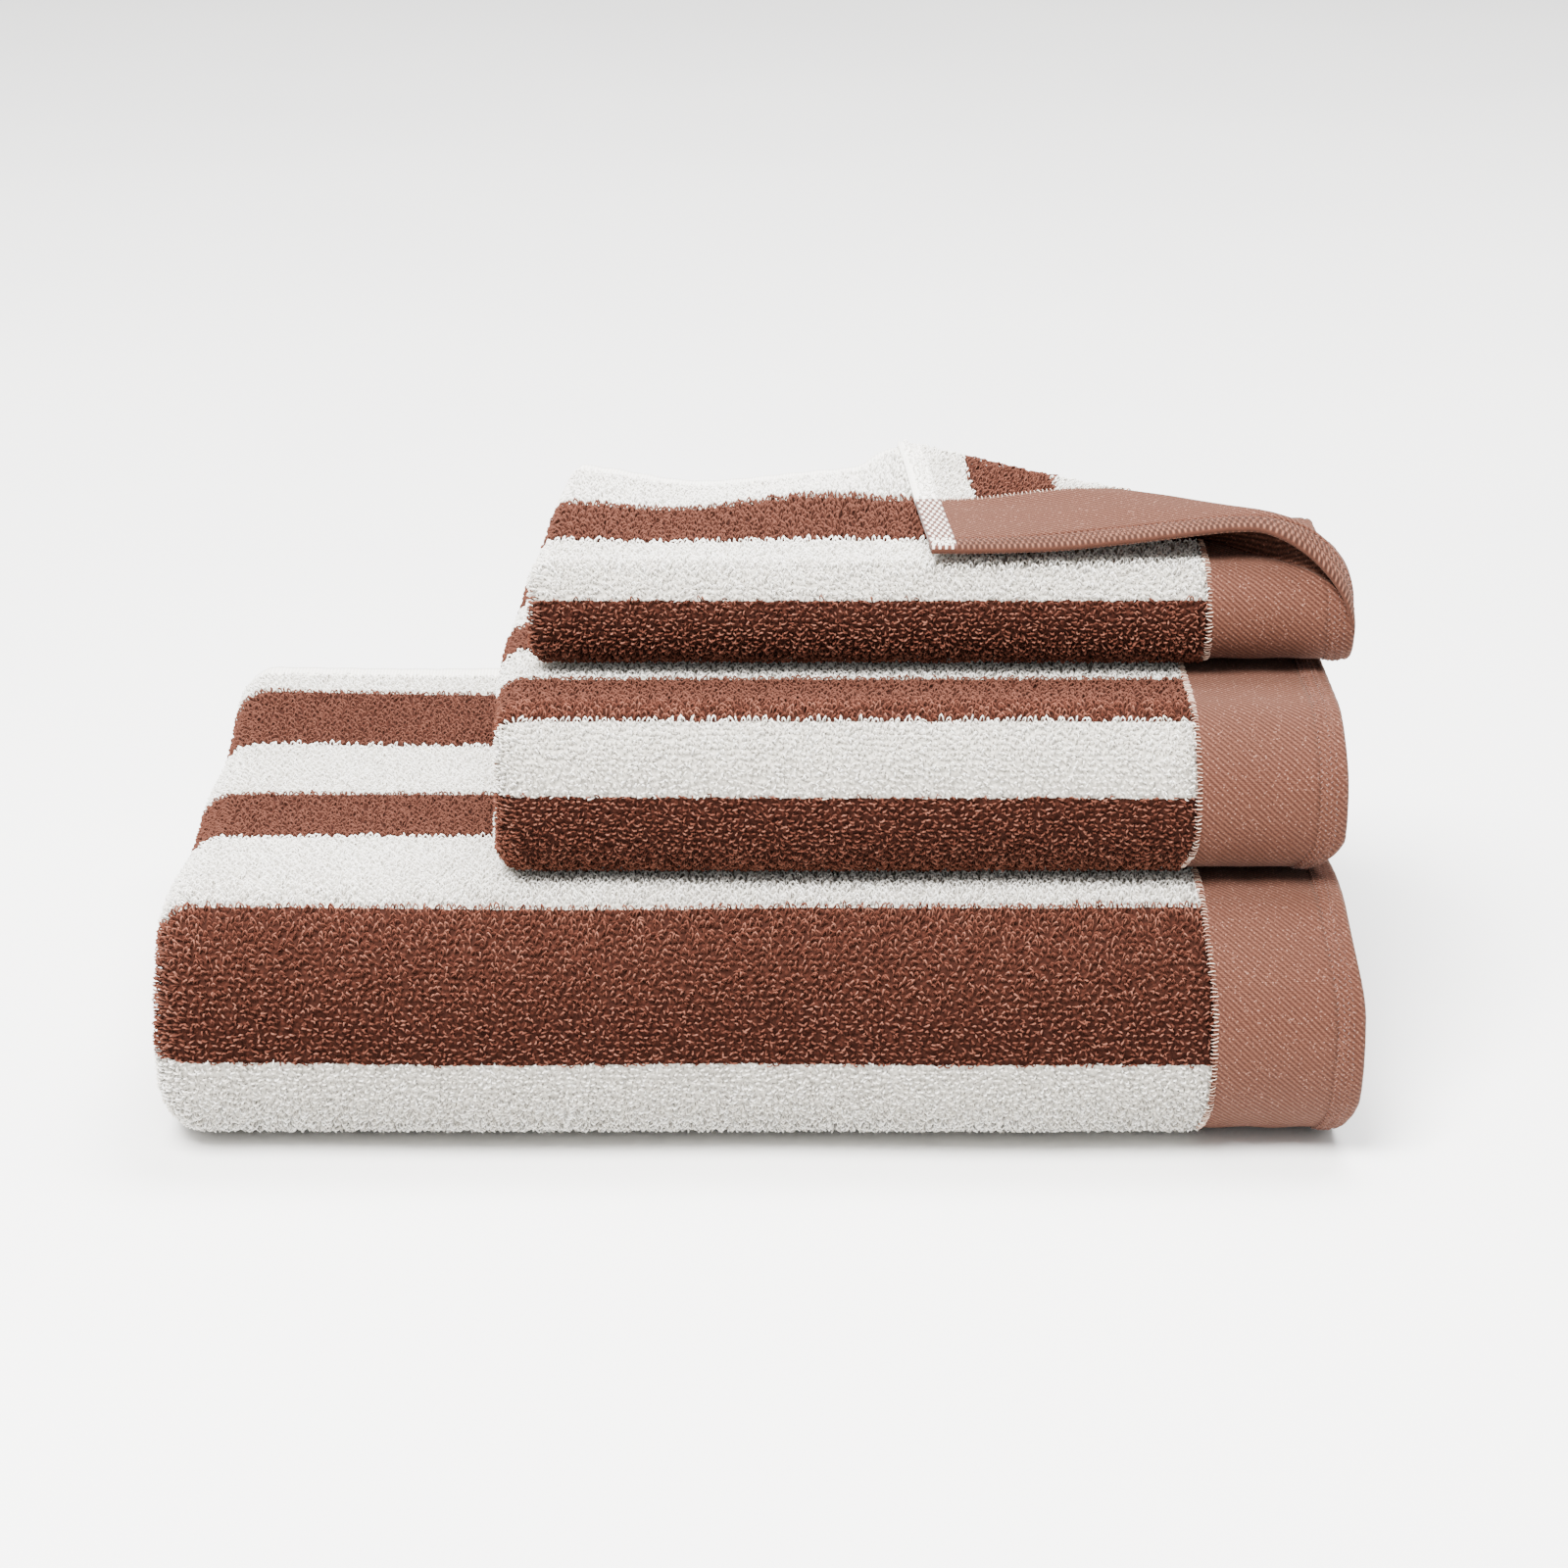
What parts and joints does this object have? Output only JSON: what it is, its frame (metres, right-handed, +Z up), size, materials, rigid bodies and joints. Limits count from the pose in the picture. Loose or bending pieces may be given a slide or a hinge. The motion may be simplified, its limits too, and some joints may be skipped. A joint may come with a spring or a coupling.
{
  "type": "folded towel stack",
  "caption": "Folded striped terry towels of falling size in a neat stack, each with a flat-woven border and hem at one end; the top one has a corner turned over.",
  "frame": {"origin": "middle of the stack's footprint, on the floor that the bottom towel rests on", "axes": "+X to the right, towards the bordered ends; +Y to the back, towards the free long edges; +Z up"},
  "size_m": [0.352, 0.249, 0.1726],
  "materials": {
    "striped_terry": "looped cotton pile in lengthwise stripes of warm white and terracotta brown",
    "border_weave": "flat twill-woven cotton, terracotta, matt",
    "hem": "turned and stitched flat weave, terracotta, matt",
    "hem_stitching": "light terracotta sewing thread",
    "whipped_seam": "light overcast stitches",
    "woven_edge": "dense flat-woven edge, warm white with brown flecks"
  },
  "bodies": {
    "bath_towel": {"bath_border_inner": "border_weave", "bath_border_outer": "border_weave", "bath_border_seam_inner": "whipped_seam", "bath_border_seam_outer": "whipped_seam", "bath_hem_inner": "hem", "bath_hem_outer": "hem", "bath_hem_thread_inner": "hem_stitching", "bath_hem_thread_outer": "hem_stitching", "bath_selvedge_inner": "woven_edge", "bath_selvedge_top": "woven_edge", "bath_terry": "striped_terry"},
    "hand_towel": {"hand_border_inner": "border_weave", "hand_border_outer": "border_weave", "hand_border_seam_inner": "whipped_seam", "hand_border_seam_outer": "whipped_seam", "hand_hem_inner": "hem", "hand_hem_outer": "hem", "hand_hem_thread_inner": "hem_stitching", "hand_hem_thread_outer": "hem_stitching", "hand_selvedge_inner": "woven_edge", "hand_selvedge_top": "woven_edge", "hand_terry": "striped_terry"},
    "guest_towel": {"guest_border_inner": "border_weave", "guest_border_outer": "border_weave", "guest_border_seam_inner": "whipped_seam", "guest_border_seam_outer": "whipped_seam", "guest_hem_inner": "hem", "guest_hem_outer": "hem", "guest_hem_thread_inner": "hem_stitching", "guest_hem_thread_outer": "hem_stitching", "guest_selvedge_inner": "woven_edge", "guest_selvedge_top": "woven_edge", "guest_terry": "striped_terry"},
    "turned_corner": {"flap_border": "border_weave", "flap_border_seam": "whipped_seam", "flap_hem": "hem", "flap_hem_thread": "hem_stitching", "flap_selvedge": "woven_edge", "flap_terry": "striped_terry"}
  },
  "joints": [
    {"name": "hand_towel_lift", "type": "slide", "parent": "bath_towel", "child": "hand_towel", "axis": [0, 0, 1], "range_m": [0, 0.15]},
    {"name": "guest_towel_lift", "type": "slide", "parent": "hand_towel", "child": "guest_towel", "axis": [0, 0, 1], "range_m": [0, 0.12]},
    {"name": "corner_turn", "type": "hinge", "parent": "guest_towel", "child": "turned_corner", "pos_m": [0.045, 0.0545, 0.1642], "axis": [-0.7859, 0.6184, 0], "range_deg": [0, 170]}
  ]
}
